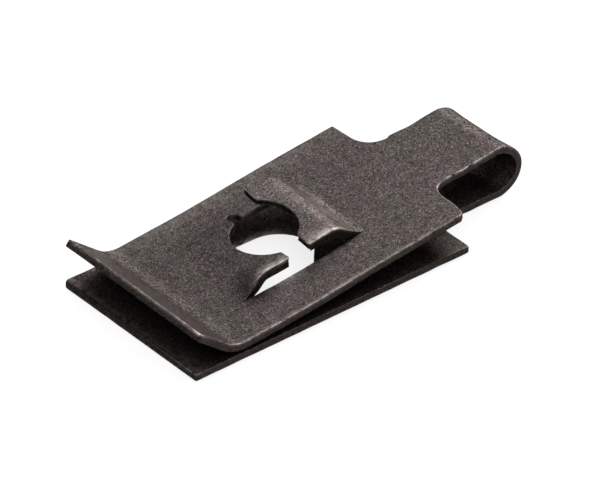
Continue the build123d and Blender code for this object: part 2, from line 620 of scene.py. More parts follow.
@dataclass(frozen=True)
class FoldedStrip:
    """The strip's outline in the flat, and the side profile it is folded to.

    Lengths along the blank start at the mouth of the lower leaf, run round the fold and end at the
    lip. Angles are in radians.

    Attributes:
        width: Width of the strip.
        mouth: Place of the mouth along the nut.
        fold_end: Place of the fold's end along the nut.
        thickness: Thickness of the sheet.
        loop_radius: Outer radius of the fold.
        lower_length: Length of the lower leaf, up to its shoulders.
        upper_setback: How much nearer to the mouth the upper shoulders lie than the lower ones.
        bend_from_mouth: Distance of the lip's bend line from the mouth.
        bend_height: Height of that bend line.
        lip_length: Length of the lip from its bend line.
        lip_angle: Rise of the lip.
        lip_radius: Bend radius of the lip, on the outer face.
        axis_from_mouth: Distance of the screw axis from the mouth.
        mouth_overrun: How far out the mouth was cut.
        mouth_slant: Slope of the mouth's cut across the strip.
        mouth_far_spread: How much wider the lower leaf is at the mouth's far corner.
        mouth_spread_reach: Lengths along the blank between which that width sets in.
        lip_slant: Slope of the lip's cut across the strip.
        lip_far_point: How far the lip is drawn out at its far corner.
        lip_point_from: Distance across the strip at which it starts to be drawn out.
        mouth_far_corner: Radius of the mouth's far corner.
        mouth_near_corner: Radius of the mouth's near corner.
        corner_round: Radius of all other outside corners.
        shoulder_lead: How far the tips of the upper shoulders stand out towards the neck.
        near_shoulder_bow: How far the near upper shoulder bows out.
        far_shoulder_bow: How far the far upper shoulder bows out.
        bow_middle: Place of the strongest bow, as a share of the half width.
        bow_reach: Reach of the bow to both sides, as a share of the half width.
        zone_margin: How far past its outline a prong claims the points of the blank.
        window_margin: How far past the window's ends the prongs claim points.
        slope_step: Step by which the faces' slopes are taken.
        face_ripple: Low unevenness of all faces.
        shear_ripple: Low unevenness of the sheared outline.
        sag: Sag of the upper leaf.
        neck: Neck round the fold.
        hole: Clearance hole of the lower leaf.
        window: Lanced window of the upper leaf.
        flare: Flare of the fold's ends.
        prongs: Front and rear prong.
        path: Side profile of the outer face.
        closing_angle: Slope at which the upper leaf closes on the lower one.
        upper_start: Length along the blank at the upper shoulders.
        axis: Length along the blank at the screw axis in the upper leaf.
        axis_height: Height of the upper leaf at the screw axis.
    """

    width: float = (CAD_HIGH.y - CAD_LOW.y) / MM
    mouth: float = CAD_LOW.x / MM
    fold_end: float = CAD_HIGH.x / MM
    thickness: float = 0.5
    loop_radius: float = 1.9
    lower_length: float = 21.77
    upper_setback: float = 0.6
    bend_from_mouth: float = 3.2
    bend_height: float = 1.146
    lip_length: float = 3.58
    lip_angle: float = np.radians(38.5)
    lip_radius: float = 2.3
    axis_from_mouth: float = 10.57
    mouth_overrun: float = 0.04
    mouth_slant: float = 0.0125
    mouth_far_spread: float = 0.07
    mouth_spread_reach: Range = (6.0, 1.0)
    lip_slant: float = 0.008
    lip_far_point: float = 0.14
    lip_point_from: float = 4.5
    mouth_far_corner: float = 0.22
    mouth_near_corner: float = 0.07
    corner_round: float = 0.06
    shoulder_lead: float = 0.05
    near_shoulder_bow: float = 0.26
    far_shoulder_bow: float = 0.075
    bow_middle: float = 0.75
    bow_reach: float = 0.25
    zone_margin: float = 0.15
    window_margin: float = 0.3
    slope_step: float = 0.02
    face_ripple: Ripple = Ripple(height=0.006, wavelength=3.0, seed=8)
    shear_ripple: Ripple = Ripple(height=0.005, wavelength=1.7, seed=5)
    sag: Sag = Sag()
    neck: Neck = Neck()
    hole: ClearanceHole = ClearanceHole()
    window: LancedWindow = LancedWindow()
    flare: FoldFlare = FoldFlare()
    prongs: tuple[Prong, Prong] = (
        Prong(
            zone=Zone.FRONT_PRONG,
            sign=1,
            root=4.4,
            near=ProngEdge(ramp=1.36, tip=0.53, crest_rise=1.24, tip_rise=1.24, lag=0.3),
            far=ProngEdge(ramp=1.4, tip=0.43, crest_rise=0.62, tip_rise=0.62),
            bite_radius=2.48,
            bite_centre=0.41,
        ),
        Prong(
            zone=Zone.REAR_PRONG,
            sign=-1,
            root=5.0,
            near=ProngEdge(ramp=1.75, tip=0.97, crest_rise=1.33, tip_rise=1.33, crest_radius=1.8),
            far=ProngEdge(ramp=1.38, tip=1.21, crest_rise=1.78, tip_rise=1.99, crest_radius=2.2),
            bite_radius=2.21,
            bite_centre=0.0,
            far_spread=0.3,
            root_radius=1.3,
        ),
    )
    path: ProfilePath = field(init=False)
    closing_angle: float = field(init=False)
    upper_start: float = field(init=False)
    axis: float = field(init=False)
    axis_height: float = field(init=False)

    def __post_init__(self) -> None:
        """Works out the side profile and the places that follow from it.

        The upper leaf is the tangent from the lip's bend line to the fold's circle. Its slope is
        the angle down from the circle's centre to that line, plus the arc sine of the radius over
        their distance.
        """
        loop_x = self.fold_end - self.loop_radius
        bend_x = self.mouth + self.bend_from_mouth
        run, drop = loop_x - bend_x, self.loop_radius - self.bend_height
        closing = np.arctan2(drop, run) + np.arcsin(self.loop_radius / np.hypot(run, drop))
        leaf_start = loop_x - self.loop_radius * np.sin(closing)
        half_turn = (closing + self.lip_angle) / 2
        taken = self.lip_radius * np.tan(half_turn)
        leaf_run = (leaf_start - bend_x) / np.cos(closing)
        lengths = np.array(
            [
                loop_x - self.mouth,
                self.loop_radius * (np.pi + closing),
                leaf_run - taken,
                self.lip_radius * 2 * half_turn,
                self.lip_length - taken,
            ]
        )
        curvatures = np.array([0, 1 / self.loop_radius, 0, -1 / self.lip_radius, 0])
        path = ProfilePath.from_runs((self.mouth, 0), 0.0, lengths, curvatures)
        upper_x = self.mouth + self.lower_length - self.upper_setback
        axis_x = self.mouth + self.axis_from_mouth
        derived = {
            "path": path,
            "closing_angle": closing,
            "upper_start": path.knots[2] + (leaf_start - upper_x) / np.cos(closing),
            "axis": path.knots[2] + (leaf_start - axis_x) / np.cos(closing),
            "axis_height": self.bend_height + (axis_x - bend_x) * np.tan(closing),
        }
        for name, value in derived.items():
            object.__setattr__(self, name, value)

    def mouth_edge(self, y: Array) -> Array:
        """Length along the blank at which the mouth was cut, a little out of square."""
        return -self.mouth_slant * y - self.mouth_overrun

    def lip_edge(self, y: Array) -> Array:
        """Length along the blank at which the lip was cut, with its drawn-out far corner."""
        point = self.lip_far_point * ease(y, self.lip_point_from, self.width / 2)
        return self.path.knots[-1] + self.lip_slant * y + point

    def shoulder_edge(self, y: Array) -> Array:
        """Length along the blank of the upper leaf's shoulders.

        Each shoulder stands out at its tip and bows out between tip and neck, as a parabola.

        Args:
            y: Distance across the strip.

        Returns:
            Length along the blank at each point.
        """
        bow = np.where(y > 0, self.far_shoulder_bow, self.near_shoulder_bow)
        off = (2 * np.abs(y) / self.width - self.bow_middle) / self.bow_reach
        return self.upper_start - self.shoulder_lead - bow * np.clip(1 - off**2, 0, 1)

    def lower_sheet(self, s: Array, y: Array) -> Array:
        """Signed distance to the lower leaf, a rounded rectangle with its own corners at the mouth.

        Args:
            s: Length along the blank.
            y: Distance across it.

        Returns:
            Distance of each point, negative in the steel.
        """
        half = self.width / 2
        at_mouth = np.where(y > 0, self.mouth_far_corner, self.mouth_near_corner)
        corner = np.where(s < self.lower_length / 2, at_mouth, self.corner_round)
        far = half + self.mouth_far_spread * ease(s, *self.mouth_spread_reach)
        return box_distance(s, y, (self.mouth_edge(y), -half), (self.lower_length, far), corner)

    def upper_sheet(self, s: Array, y: Array) -> Array:
        """Signed distance to the upper leaf, a rounded rectangle between shoulders and lip.

        Args:
            s: Length along the blank.
            y: Distance across it.

        Returns:
            Distance of each point, negative in the steel.
        """
        half = self.width / 2
        low, high = (self.shoulder_edge(y), -half), (self.lip_edge(y), half)
        return box_distance(s, y, low, high, self.corner_round)

    def leaves_distance(self, s: Array, y: Array) -> Array:
        """Signed distance to the strip without its prongs.

        It is the union of the lower leaf, the neck and the upper leaf, less the clearance hole and
        the lanced window.

        Args:
            s: Length along the blank.
            y: Distance across it.

        Returns:
            Distance of each point, negative in the steel.
        """
        from_shoulder = np.minimum(s - self.lower_length, self.upper_start - s)
        neck = self.neck.distance(from_shoulder, y)
        sheet = join_with_fillet(self.lower_sheet(s, y), neck, self.neck.fillet(y))
        sheet = join_with_fillet(sheet, self.upper_sheet(s, y), self.neck.fillet(y))
        hole = self.hole.distance(s - self.axis_from_mouth, y)
        window = self.window.distance(self.axis - s, y)
        return np.maximum(sheet, -np.minimum(hole, window))

    def outline_distance(self, s: Array, y: Array) -> Array:
        """Signed distance to the whole outline, with the prongs and the shear's unevenness.

        Args:
            s: Length along the blank.
            y: Distance across it.

        Returns:
            Distance of each point, negative in the steel.
        """
        sheet = self.leaves_distance(s, y)
        for prong in self.prongs:
            sheet = np.minimum(sheet, prong.distance(self.axis - s, y))
        return sheet + self.shear_ripple.at(s, y)

    def zones(self, s: Array, y: Array) -> Array:
        """Zone of each point: on a prong's tongue inside the window, or on the leaves.

        Args:
            s: Length along the blank.
            y: Distance across it.

        Returns:
            Value of the zone at each point.
        """
        along, margin = self.axis - s, self.window_margin
        on_tongue = np.abs(y) < self.window.half_width + self.window.slot_gap / 2
        at_front, at_rear = (prong.distance(along, y) < self.zone_margin for prong in self.prongs)
        front = on_tongue & at_front & (along > -self.window.front - margin) & (along < 0)
        rear = on_tongue & at_rear & (along < self.window.rear + margin) & (along >= 0)
        values = [Zone.FRONT_PRONG.value, Zone.REAR_PRONG.value]
        return np.select([front, rear], values, Zone.LEAVES.value)

    def outer_face(self, s: Array, y: Array, zone: Array) -> Array:
        """Place of points of the blank on the folded strip's outer face.

        The leaves follow the side profile, and the fold's ends flare out from its centre. A point
        of a prong lies on the leaf's plane at its distance along and across, plus its rise along
        the plane's normal. The upper leaf and its prongs sink by the sag, and all faces have the
        ripple, but no point comes below the floor.

        Args:
            s: Length along the blank.
            y: Distance across it.
            zone: Zone value of each point.

        Returns:
            Points in space, one row each.
        """
        x, z = self.path.point(s)
        turned = (s - self.path.knots[1]) / self.loop_radius
        flare = self.flare.outward(turned, y)
        x, z = x + flare * np.sin(turned), z - flare * np.cos(turned)
        across = y
        cos, sin = np.cos(self.closing_angle), np.sin(self.closing_angle)
        axis_x = self.mouth + self.axis_from_mouth
        for prong in self.prongs:
            place, spread, rise = prong.surface(self.axis - s, y)
            mine = zone == prong.zone.value
            x = np.where(mine, axis_x + place * cos - rise * sin, x)
            z = np.where(mine, self.axis_height + place * sin + rise * cos, z)
            across = np.where(mine, spread, across)
        on_upper = ease(s, self.path.knots[2], self.upper_start)
        z = z - on_upper * self.sag.at(x - self.mouth, y) + self.face_ripple.at(s, y)
        return np.column_stack((x, across, np.maximum(z, 0)))

    def place(self, s: Array, y: Array, zone: Array, depth: Array) -> Array:
        """Points at a depth under the outer face.

        The direction into the steel is the cross product of the face's slopes along and across the
        blank, made of unit length.

        Args:
            s: Length along the blank.
            y: Distance across it.
            zone: Zone value of each point.
            depth: Depth of each point under the outer face.

        Returns:
            Points in space, one row each.
        """
        step = self.slope_step
        along = self.outer_face(s + step, y, zone) - self.outer_face(s - step, y, zone)
        across = self.outer_face(s, y + step, zone) - self.outer_face(s, y - step, zone)
        inward = np.cross(along, across)
        inward /= np.linalg.norm(inward, axis=1, keepdims=True)
        return self.outer_face(s, y, zone) + depth[:, None] * inward


@dataclass(frozen=True)
class FlatMesh:
    """A region of the flat blank cut into quads and triangles.

    Attributes:
        points: Corner points, one row each.
        quads: Corners of the quads, anticlockwise.
        triangles: Corners of the triangles, anticlockwise.
    """

    points: Array
    quads: Array
    triangles: Array

    def rim(self) -> Array:
        """Edges that only one face uses: no face has the same two corners the other way round.

        Returns:
            Pairs of corners, with the face on their left.
        """
        loops = [(faces, np.roll(faces, -1, axis=1)) for faces in (self.quads, self.triangles)]
        starts = np.concatenate([a.ravel() for a, _ in loops])
        ends = np.concatenate([b.ravel() for _, b in loops])
        count = len(self.points)
        alone = ~np.isin(starts * count + ends, ends * count + starts)
        return np.column_stack((starts[alone], ends[alone]))


@dataclass(frozen=True)
class RimWidths:
    """Widths of the rounded rim, by which the flat faces stop short of the outline.

    Attributes:
        leaf: Round the leaves and the neck.
        opening: Round the clearance hole and the window.
        slot: Beside the flat roots of the prongs.
        prong_tip: On the prongs' tips and arcs.
        near_side: On the prongs' raised near sides, at the crest.
        far_side: On the prongs' raised far sides.
        by_opening: Distances from an opening over which its width takes over.
        beyond_root: Distances past a bend line over which the slot's width takes over.
        before_root: The same from the screw's side.
        beside_slot: Distances past a prong's side over which it takes over.
        side_inset: Distances inside a prong's side over which the side's width takes over.
        side_reach: Distances from the screw axis over which the near side's width grows.
    """

    leaf: float = 0.1
    opening: float = 0.045
    slot: float = 0.03
    prong_tip: float = 0.06
    near_side: float = 0.24
    far_side: float = 0.1
    by_opening: Range = (0.9, 0.3)
    beyond_root: Range = (1.2, 0.6)
    before_root: Range = (-1.2, -0.4)
    beside_slot: Range = (0.6, 0.3)
    side_inset: Range = (0.5, 0.15)
    side_reach: Range = (0.8, 2.6)


@dataclass(frozen=True)
class BlankCutter:
    """Cuts the blank's outline out of a grid.

    Attributes:
        strip: The strip to be cut.
        fine_pitch: Spacing of the grid at the prongs.
        coarse_pitch: Spacing of the grid elsewhere.
        widths: Widths of the rounded rim.
        raised_from_root: Distances past a bend line over which a prong counts as raised.
        raised_at_side: Distances past a prong's side over which that ends.
        line_inset: How far grid lines at the slots lie inside the flat faces' edges.
        end_bend: Distances from both cut ends over which the grid bends to follow them.
        shoulder_bend: Distances from the upper shoulders over which it bends to follow them.
        slope_step: Step by which the distance's slope is taken.
        snap_rounds: How often the points are moved onto the edge.
        least_area: Smallest triangle that is kept, as a share of the fine pitch squared.
    """

    strip: FoldedStrip
    fine_pitch: float = 0.105
    coarse_pitch: float = 0.17
    widths: RimWidths = RimWidths()
    raised_from_root: Range = (-0.2, -1.1)
    raised_at_side: Range = (0.08, 0.0)
    line_inset: float = 0.005
    end_bend: Range = (2.5, 0.5)
    shoulder_bend: Range = (1.6, 0.4)
    slope_step: float = 0.01
    snap_rounds: int = 3
    least_area: float = 0.002

    def past_root(self, along: Array) -> Array:
        """Distance of each point past its prong's bend line, away from the screw axis."""
        front, rear = self.strip.prongs
        return np.abs(along) - np.where(along < 0, front.root, rear.root)

    def raised(self, s: Array, y: Array) -> Array:
        """Share by which each point belongs to the raised part of a prong."""
        across = ease(np.abs(y) - self.strip.window.half_width, *self.raised_at_side)
        return ease(self.past_root(self.strip.axis - s), *self.raised_from_root) * across

    def rim_width(self, s: Array, y: Array) -> Array:
        """Width of the rounded rim, eased from one feature's width to the next one's.

        Args:
            s: Length along the blank.
            y: Distance across it.

        Returns:
            Width at each point.
        """
        strip, widths = self.strip, self.widths
        along = strip.axis - s
        hole = strip.hole.distance(s - strip.axis_from_mouth, y)
        opening = np.minimum(hole, strip.window.distance(along, y))
        width = widths.leaf + ease(opening, *widths.by_opening) * (widths.opening - widths.leaf)
        half = strip.window.half_width
        past_root = self.past_root(along)
        beside = ease(np.abs(y) - half, *widths.beside_slot)
        at_slot = ease(past_root, *widths.beyond_root) * beside
        at_slot = at_slot * ease(past_root, *widths.before_root)
        width = width + at_slot * (widths.slot - width)
        side = [half - inset for inset in widths.side_inset]
        near = ease(-y, *side) * ease(np.abs(along), *widths.side_reach)
        far = ease(y, *side)
        on_prong = widths.prong_tip + near * (widths.near_side - widths.prong_tip)
        on_prong = on_prong + far * (widths.far_side - widths.prong_tip)
        return width + self.raised(s, y) * (on_prong - width)

    def face_distance(self, s: Array, y: Array) -> Array:
        """Signed distance to the flat faces' edge, which stops short of the outline by the rim."""
        return self.strip.outline_distance(s, y) + self.rim_width(s, y)

    def outward(self, points: Array) -> Array:
        """Direction out of the steel in the flat: the distance's slope, made of unit length.

        Args:
            points: Points in the flat, one row each.

        Returns:
            Direction at each point, one row each.
        """
        s, y = points.T
        step = self.slope_step
        along = self.face_distance(s + step, y) - self.face_distance(s - step, y)
        across = self.face_distance(s, y + step) - self.face_distance(s, y - step)
        slope = np.column_stack((along, across))
        return slope / np.maximum(np.linalg.norm(slope, axis=1, keepdims=True), TINY)

    @staticmethod
    def stations(marks: list[float], pitches: list[float]) -> Array:
        """Places of grid lines on one side of the grid.

        Args:
            marks: Places that get a line, in rising order.
            pitches: Spacing between each two marks, rounded so that whole steps fill them.

        Returns:
            Places of all lines.
        """
        parts = [
            np.linspace(low, high, max(round((high - low) / pitch), 1) + 1)[:-1]
            for low, high, pitch in zip(marks, marks[1:], pitches)
        ]
        return np.concatenate([*parts, marks[-1:]])

    def grid(self) -> Array:
        """Grid points in rows along the strip.

        Lines lie on the flat faces' edges at the slots, the long sides and the shoulders. The lines
        at the mouth, the upper shoulders and the lip are bent to follow those edges.

        Returns:
            Points, by line along the strip and across it.
        """
        half, slot = self.strip.width / 2, self.strip.window
        fine, coarse, leaf = self.fine_pitch, self.coarse_pitch, self.widths.leaf
        inner = slot.half_width - self.widths.slot + self.line_inset
        outer = slot.half_width + slot.slot_gap + self.widths.slot - self.line_inset
        side = [half + leaf, half - leaf, outer, inner]
        y_marks = [*(-mark for mark in side), *side[::-1]]
        y_line = self.stations(y_marks, [coarse, coarse, fine, fine, fine, coarse, coarse])
        lower, upper = self.strip.lower_length, self.strip.upper_start
        axis, end, margin = self.strip.axis, self.strip.path.knots[-1], self.strip.window_margin
        lanced = [axis - slot.rear - margin, axis + slot.front + margin]
        s_marks = [-2 * leaf, leaf, lower - leaf, upper + leaf]
        s_marks += [*lanced, end - leaf, end + 2 * leaf]
        s_line = self.stations(s_marks, [coarse, coarse, coarse, coarse, fine, coarse, coarse])
        s, y = np.meshgrid(s_line, y_line, indexing="ij")
        at_shoulder = ease(np.abs(s - upper), *self.shoulder_bend)
        at_lip = ease(s, *(end - reach for reach in self.end_bend))
        bent = self.strip.mouth_edge(y) * ease(s, *self.end_bend)
        bent = bent + (self.strip.shoulder_edge(y) - upper) * at_shoulder
        bent = bent + (self.strip.lip_edge(y) - end) * at_lip
        return np.stack((s + bent, y), axis=-1)

    @staticmethod
    def nearer_ends(gap: Array) -> Array:
        """Marks the end that lies nearer the edge, of each grid side that the edge crosses.

        Args:
            gap: Signed distance of each grid point.

        Returns:
            True at the marked points.
        """
        marked = np.zeros(gap.shape, bool)
        for low, high in (((slice(None, -1),), (slice(1, None),)), (np.s_[:, :-1], np.s_[:, 1:])):
            crossed = (gap[low] < 0) != (gap[high] < 0)
            first = np.abs(gap[low]) <= np.abs(gap[high])
            marked[low] |= crossed & first
            marked[high] |= crossed & ~first
        return marked

    def cut(self) -> FlatMesh:
        """Mesh of the flat faces.

        The marked grid points are moved onto the edge along the slope of the distance. After that
        no grid side crosses it, so the faces whose corners are all in the steel or on the edge fill
        the region. A cell with one corner outside keeps its other triangle, and the other cells at
        the edge are cut along their shorter diagonal.

        Returns:
            The mesh in the flat.
        """
        grid = self.grid()
        rows, columns = grid.shape[:2]
        points = grid.reshape(-1, 2).copy()
        gap = self.face_distance(*points.T)
        near = self.nearer_ends(gap.reshape(rows, columns)).ravel()
        for _ in range(self.snap_rounds):
            gap_near = self.face_distance(*points[near].T)
            points[near] -= self.outward(points[near]) * gap_near[:, None]
        kept = near | (gap < 0)

        corner = np.arange(rows * columns).reshape(rows, columns)
        cells = np.stack((corner[:-1, :-1], corner[1:, :-1], corner[1:, 1:], corner[:-1, 1:]))
        cells = cells.reshape(4, -1).T
        whole = (kept & ~near)[cells].all(axis=1)
        rest = cells[~whole & (kept[cells].sum(axis=1) >= 3)]
        missing = ~kept[rest]
        diagonal = np.linalg.norm(points[rest[:, 0]] - points[rest[:, 2]], axis=1)
        other = np.linalg.norm(points[rest[:, 1]] - points[rest[:, 3]], axis=1)
        turn = np.where(missing.any(axis=1), missing[:, 0] | missing[:, 2], other < diagonal)
        rest = np.where(turn[:, None], np.roll(rest, -1, axis=1), rest)
        triangles = np.concatenate((rest[:, [0, 1, 2]], rest[:, [0, 2, 3]]))
        triangles = triangles[kept[triangles].all(axis=1)]
        corners = points[triangles]
        sides = corners[:, 1:] - corners[:, :1]
        area = (sides[:, 0, 0] * sides[:, 1, 1] - sides[:, 0, 1] * sides[:, 1, 0]) / 2
        inside = self.face_distance(*corners.mean(axis=1).T) < 0
        triangles = triangles[inside & (area > self.least_area * self.fine_pitch**2)]

        quads = cells[whole]
        used = np.unique(np.concatenate((quads.ravel(), triangles.ravel())))
        renumber = np.zeros(len(points), int)
        renumber[used] = np.arange(len(used))
        return FlatMesh(points[used], renumber[quads], renumber[triangles])


@dataclass(frozen=True)
class ShearedRim:
    """Section of the sheared edge, from the outer face round to the inner one.

    The outer face rolls over on a quarter ellipse, the wall goes straight down, and a small round
    meets the inner face.

    Attributes:
        roll_slope: Depth of the rolled part for each unit of its width.
        roll_share: Most that the rolled part takes of the sheet.
        heel: Radius at the inner face.
        burr: Height of the burr that stands past the inner face, where the rim has one.
        undercut: How far the wall slants back to the inner face, where the shear tore it.
        roll_steps: Segments of the rolled part.
        heel_share: Most that the small round takes of the rim's width.
        heel_steps: Segments of the small round.
        wall_rings: Places of the wall's rings, as shares of its height.
        side_lean: Sideways parts of the outward direction over which a side gets its burr.
    """

    roll_slope: float = 0.8
    roll_share: float = 0.34
    heel: float = 0.045
    burr: float = 0.13
    undercut: float = 0.16
    roll_steps: int = 4
    heel_share: float = 0.7
    heel_steps: int = 2
    wall_rings: Range = (0.4, 1.0)
    side_lean: Range = (0.8, 0.97)

    def section(
        self, width: Array, thickness: float, burred: Array, torn: Array
    ) -> tuple[Array, Array]:
        """Rings of the section at each rim point.

        Args:
            width: Width of the rim at each point.
            thickness: Thickness of the sheet.
            burred: Share of the full burr at each point.
            torn: Share of the full undercut at each point.

        Returns:
            Distance outwards and depth, with one row for each ring and one column for each point.
        """
        turned = np.linspace(0, np.pi / 2, self.roll_steps + 1)[1:, None]
        heel_turned = np.linspace(0, np.pi / 2, self.heel_steps + 1)[1:, None]
        down = np.array(self.wall_rings)[:, None]
        roll_depth = np.minimum(self.roll_slope * width, self.roll_share * thickness)
        heel = np.minimum(self.heel, self.heel_share * width)
        wall_end = thickness + self.burr * burred - heel
        slant = self.undercut * torn
        out = (
            width * np.sin(turned),
            width - down * slant,
            width - slant - heel * (1 - np.cos(heel_turned)),
        )
        depth = (
            roll_depth * (1 - np.cos(turned)),
            roll_depth + down * (wall_end - roll_depth),
            wall_end + heel * np.sin(heel_turned),
        )
        return np.concatenate(out), np.concatenate(depth)


# Marks on the finish, and painted light and shade


class SheetPart(Enum):
    """Part of the sheet's section, as four depths in the sheet from nought to one.

    Its share grows from the first depth to the second and fades from the third to the fourth.
    """

    OUTER_FACE = (-2.0, -1.0, 0.03, 0.22)
    EDGE = (0.0, 0.05, 0.08, 0.25)
    WALL = (0.0, 0.05, 0.1, 0.75)
    INNER_FACE = (0.85, 1.0, 2.0, 3.0)

    def share(self, depth: Array) -> Array:
        """Share by which each depth belongs to the part."""
        start, full, fading, end = self.value
        return ease(depth, start, full) * ease(depth, end, fading)


@dataclass(frozen=True)
class SoftPatch:
    """A patch with a soft border, where the colour is made darker or lighter: painted shade,
    painted highlight or worn finish.

    Attributes:
        s: Its middle along the blank.
        y: Its middle across the blank.
        reach_s: Half its length along the blank.
        reach_y: Half its length across the blank.
        strength: How strong the patch is at its middle, from nought to one.
        part: Part of the sheet's section that has the patch.
    """

    s: float
    y: float
    reach_s: float
    reach_y: float
    strength: float
    part: SheetPart = SheetPart.EDGE

    def at(self, s: Array, y: Array, depth: Array) -> Array:
        """Strength at each point: a bell round the middle, times the share at its depth."""
        along, across = (s - self.s) / self.reach_s, (y - self.y) / self.reach_y
        return self.strength * np.exp(-(along**2) - across**2) * self.part.share(depth)


@dataclass(frozen=True)
class FinishMarksAndPaintedLight:
    """Where the nut's finish is worn, and where shade and highlights are painted on it.

    A range of distances starts where the darkening ends, and ends where it is full.

    Attributes:
        strip: The strip that carries the finish.
        shade_by_hole: Distances from the clearance hole's outline over which its wall gets painted
            shade.
        shade_by_bite: Distances from the screw axis over which the prongs' arcs get painted shade.
        dark_by_cut: Distances from the strip's two cut ends over which they are darkened.
        dark_at_cut: Strength of the darkening at the cut ends.
    """

    strip: FoldedStrip
    shade_by_hole: Range = (2.6, 1.4)
    shade_by_bite: Range = (3.4, 2.9)
    dark_by_cut: Range = (0.5, 0.2)
    dark_at_cut: float = 0.9

    def values(self, blank: Array, depth: Array) -> dict[str, Array]:
        """Values that the material reads, one for each point of the mesh.

        Args:
            blank: Points in the flat, one row each.
            depth: Depth of each point in the sheet, from nought to one.

        Returns:
            The values by the attribute's name.
        """
        return {
            "depth": depth,
            # Darker walls: painted shade in the hole and round the arcs, and darker cut ends
            "dark_walls": self.dark_walls(*blank.T),
            # Worn places and painted highlights
            "wear_and_highlight": self.strongest(self.rubbed_and_highlighted(), blank, depth),
            # Painted shade, laid on as dark patches
            "painted_shade": self.strongest(self.painted_shade_patches(), blank, depth),
        }

    def dark_walls(self, s: Array, y: Array) -> Array:
        """Darkening of the walls: painted shade round the clearance hole and the arcs, and darker
        walls at both cut ends.

        Args:
            s: Length along the blank.
            y: Distance across it.

        Returns:
            Strength at each point, from nought to one.
        """
        strip = self.strip
        hole = ease(strip.hole.distance(s - strip.axis_from_mouth, y), *self.shade_by_hole)
        bite = ease(np.hypot(strip.axis - s, y), *self.shade_by_bite)
        from_end = np.minimum(s, strip.path.knots[-1] - s)
        cut_end = self.dark_at_cut * ease(from_end, *self.dark_by_cut)
        return np.max((hole, bite, cut_end), axis=0)

    def painted_shade_patches(self) -> list[SoftPatch]:
        """Patches of painted shade: in creases and the closing gap, and over the mouth's edge, on
        both leaves.

        Returns:
            The patches.
        """
        lip, axis = self.strip.path.knots[-1], self.strip.axis
        outer, inner = SheetPart.OUTER_FACE, SheetPart.INNER_FACE
        return [
            # Painted shade on the mouth's edge and far corner, and in the closing gap under the
            # upper leaf
            SoftPatch(s=-0.1, y=0.0, reach_s=0.2, reach_y=12.0, strength=1.0, part=inner),
            SoftPatch(s=0.9, y=6.0, reach_s=1.0, reach_y=1.0, strength=0.4, part=inner),
            SoftPatch(s=19.2, y=-5.0, reach_s=1.5, reach_y=2.5, strength=0.9, part=inner),
            # Painted shade in the front prong's root and in the lip's bend
            SoftPatch(s=axis + 3.6, y=-2.9, reach_s=1.0, reach_y=1.0, strength=0.65, part=outer),
            SoftPatch(s=lip - 3.4, y=0.0, reach_s=1.2, reach_y=30.0, strength=0.16, part=outer),
        ]

    def rubbed_and_highlighted(self) -> list[SoftPatch]:
        """Patches where the finish is worn thin, and painted highlights, on all parts of the sheet.

        Returns:
            The patches.
        """
        lip, axis = self.strip.path.knots[-1], self.strip.axis
        shoulder, hole = self.strip.upper_start, self.strip.axis_from_mouth
        outer, inner, wall = SheetPart.OUTER_FACE, SheetPart.INNER_FACE, SheetPart.WALL
        crown = self.strip.path.knots[1] + self.strip.loop_radius * np.pi
        return [
            # The mouth's near corner and edge, worn, and a painted highlight of light from the
            # floor on the clearance hole's far wall
            SoftPatch(s=0.3, y=-5.7, reach_s=0.9, reach_y=1.6, strength=0.3, part=inner),
            SoftPatch(s=0.25, y=0.0, reach_s=0.2, reach_y=9.0, strength=0.2, part=inner),
            SoftPatch(s=hole + 0.8, y=3.1, reach_s=2.8, reach_y=0.8, strength=0.6, part=wall),
            # Painted highlights: along the near side of both prongs' tops, on the rear prong's
            # ramp, and along both long edges
            SoftPatch(s=axis + 1.2, y=-3.2, reach_s=1.3, reach_y=0.45, strength=0.75, part=outer),
            SoftPatch(s=axis - 1.8, y=-3.2, reach_s=1.5, reach_y=0.5, strength=0.5, part=outer),
            SoftPatch(s=axis - 4.0, y=0.0, reach_s=0.8, reach_y=2.4, strength=0.2, part=outer),
            SoftPatch(s=axis, y=-6.35, reach_s=9.0, reach_y=0.15, strength=0.34, part=outer),
            SoftPatch(s=axis, y=6.4, reach_s=12.0, reach_y=1.2, strength=0.12, part=outer),
            # The lip, the near shoulder and the neck's near edge
            SoftPatch(s=lip, y=-5.8, reach_s=0.5, reach_y=1.8, strength=1.0),
            SoftPatch(s=lip, y=-1.0, reach_s=0.3, reach_y=5.0, strength=0.25),
            SoftPatch(s=shoulder, y=-4.2, reach_s=0.8, reach_y=1.8, strength=0.6),
            SoftPatch(s=(shoulder + crown) / 2, y=-2.9, reach_s=3.4, reach_y=0.5, strength=1.0),
            # The edges of both prongs
            SoftPatch(s=axis - 1.2, y=2.4, reach_s=1.6, reach_y=1.2, strength=0.8),
            SoftPatch(s=axis - 1.8, y=-1.6, reach_s=1.2, reach_y=1.6, strength=0.6),
            SoftPatch(s=axis + 1.2, y=-2.0, reach_s=1.2, reach_y=1.4, strength=0.5),
        ]

    @staticmethod
    def strongest(patches: list[SoftPatch], blank: Array, depth: Array) -> Array:
        """Greatest strength of the patches at each point.

        Args:
            patches: The patches.
            blank: Points in the flat, one row each.
            depth: Depth of each point in the sheet, from nought to one.

        Returns:
            Strength at each point, from nought to one.
        """
        return np.max([patch.at(*blank.T, depth) for patch in patches], axis=0)


# The nut


